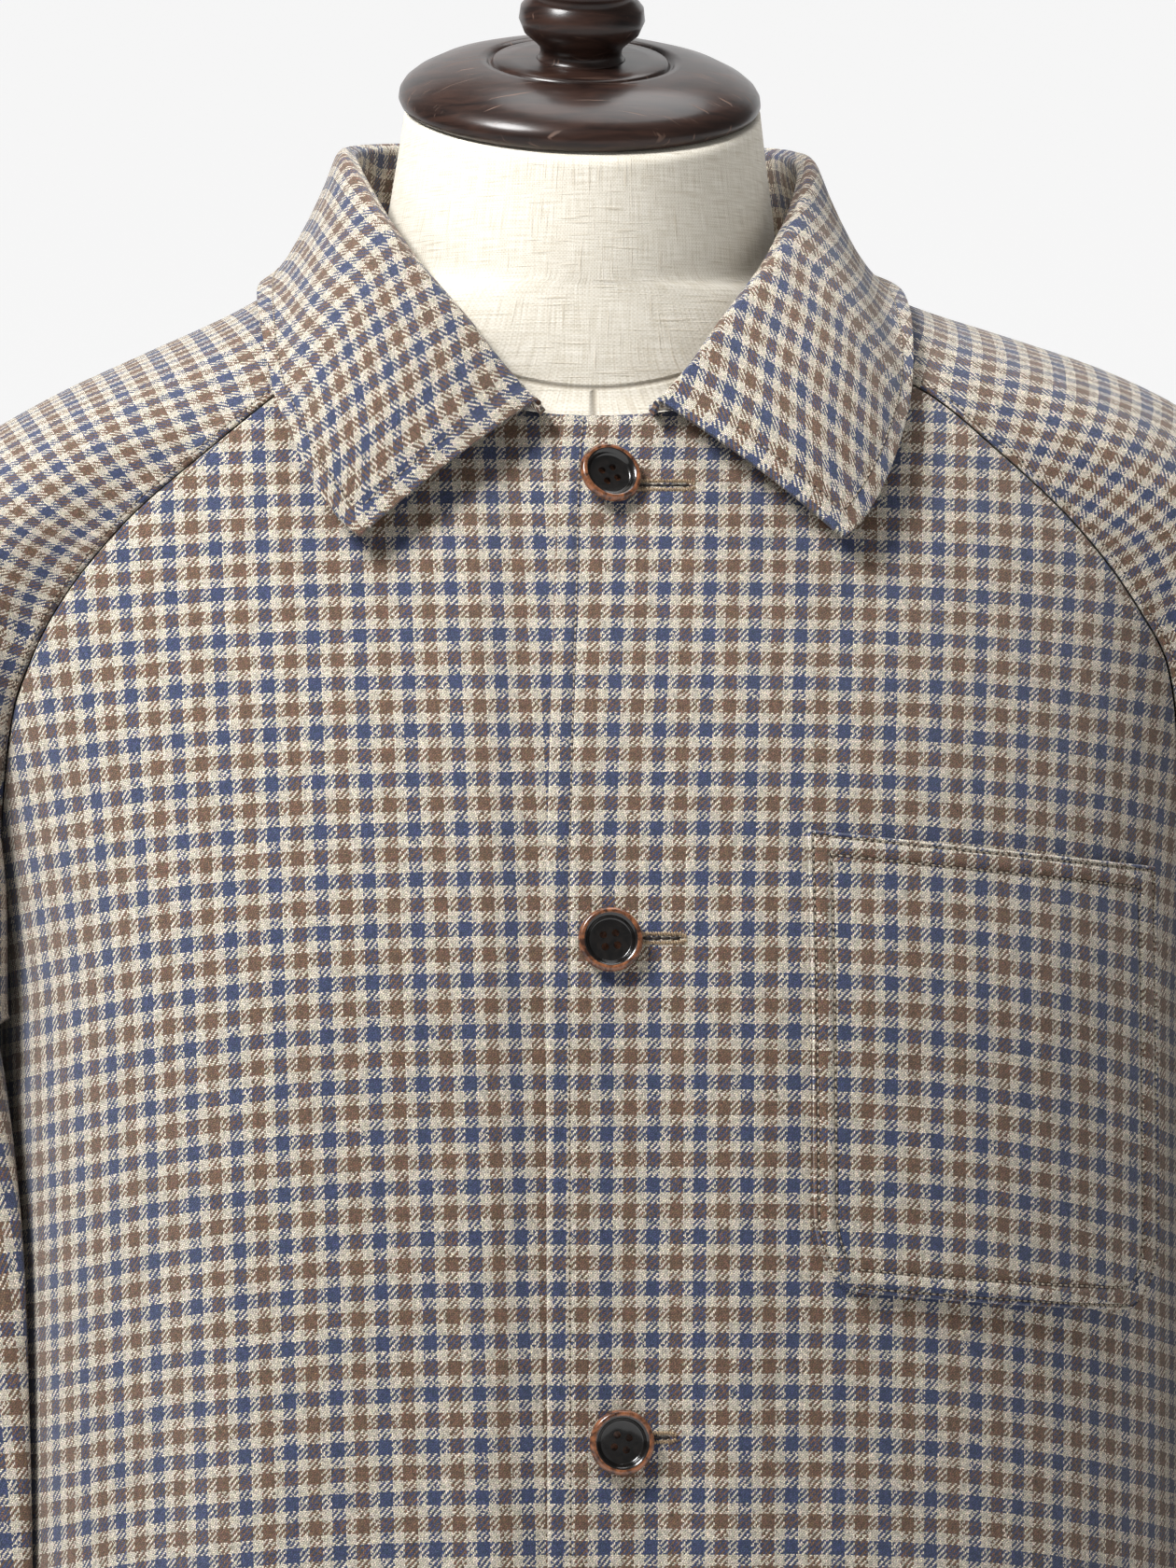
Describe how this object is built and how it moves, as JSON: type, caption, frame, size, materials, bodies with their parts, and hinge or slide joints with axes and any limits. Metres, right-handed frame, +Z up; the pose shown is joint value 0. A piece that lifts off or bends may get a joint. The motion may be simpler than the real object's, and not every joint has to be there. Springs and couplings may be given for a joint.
{
  "type": "jacket on a dress form",
  "caption": "Checked button-front shirt jacket with raglan sleeves and a chest pocket, worn open-necked on a limbless linen dress form with a turned wooden neck cap and a round stand.",
  "frame": {"origin": "centre of the stand's base, on the floor, which is also the bottom centre of the bounding box", "axes": "+Z up, +X towards the wearer's left (right in the picture), and the front of the jacket faces -Y"},
  "size_m": [0.5384, 0.4, 1.6007],
  "materials": {
    "check_cloth": "soft brushed twill in a small cream, brown and blue check",
    "button_horn": "polished, dark horn colour",
    "form_linen": "plain off-white linen stretched over the form",
    "dark_wood": "dark stained and lacquered",
    "stand_metal": "dark satin"
  },
  "bodies": {
    "root": {"front_left": "check_cloth", "front_right": "check_cloth", "back": "check_cloth", "sleeve_left": "check_cloth", "sleeve_right": "check_cloth", "collar": "check_cloth", "chest_pocket": "check_cloth", "button_1": "button_horn", "button_2": "button_horn", "button_3": "button_horn", "button_4": "button_horn", "form_torso": "form_linen", "neck_cap": "dark_wood", "finial": "dark_wood", "bottom_board": "dark_wood", "stand_pole": "stand_metal", "stand_base": "dark_wood"}
  },
  "joints": []
}
